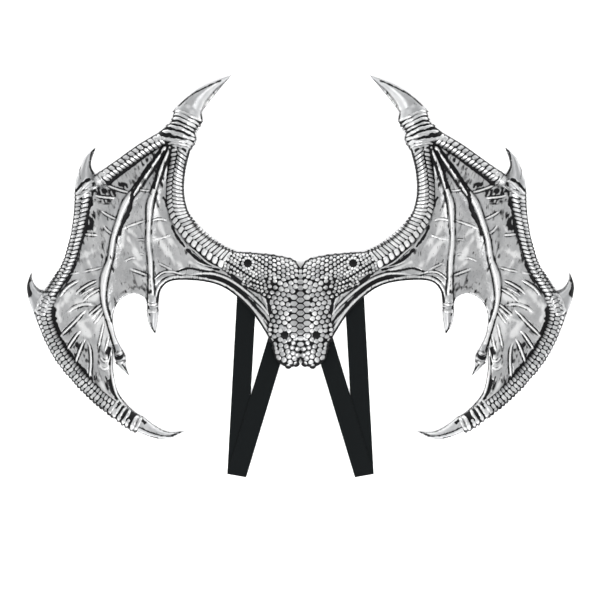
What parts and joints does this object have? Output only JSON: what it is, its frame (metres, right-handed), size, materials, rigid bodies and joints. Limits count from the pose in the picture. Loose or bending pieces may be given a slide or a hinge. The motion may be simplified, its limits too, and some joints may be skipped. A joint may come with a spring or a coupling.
{
  "type": "costume dragon wings",
  "caption": "Moulded silver foam dragon wings with claws and a scaled body plate, worn on the back with riveted elastic arm straps.",
  "frame": {"origin": "middle of the space that the wings and straps take, seen from above, on the surface they lie on", "axes": "+X along the span, +Y towards the tips of the top claws, +Z away from the wearer's back, out of the scaled side"},
  "size_m": [0.74, 0.544, 0.0249],
  "materials": {
    "silver_foam": "moulded foam with a bright silver foil skin and a black wash in its recesses",
    "black_elastic": "flat woven elastic, matte",
    "black_plastic": "moulded plastic, satin"
  },
  "bodies": {
    "root": {"wing_shell": "silver_foam", "strap_right": "black_elastic", "strap_left": "black_elastic", "rivet_cap_upper_right": "black_plastic", "rivet_cap_upper_left": "black_plastic", "rivet_cap_lower_right": "black_plastic", "rivet_cap_lower_left": "black_plastic", "rivet_socket_upper_right": "black_plastic", "rivet_socket_upper_left": "black_plastic", "rivet_socket_lower_right": "black_plastic", "rivet_socket_lower_left": "black_plastic"}
  },
  "joints": []
}
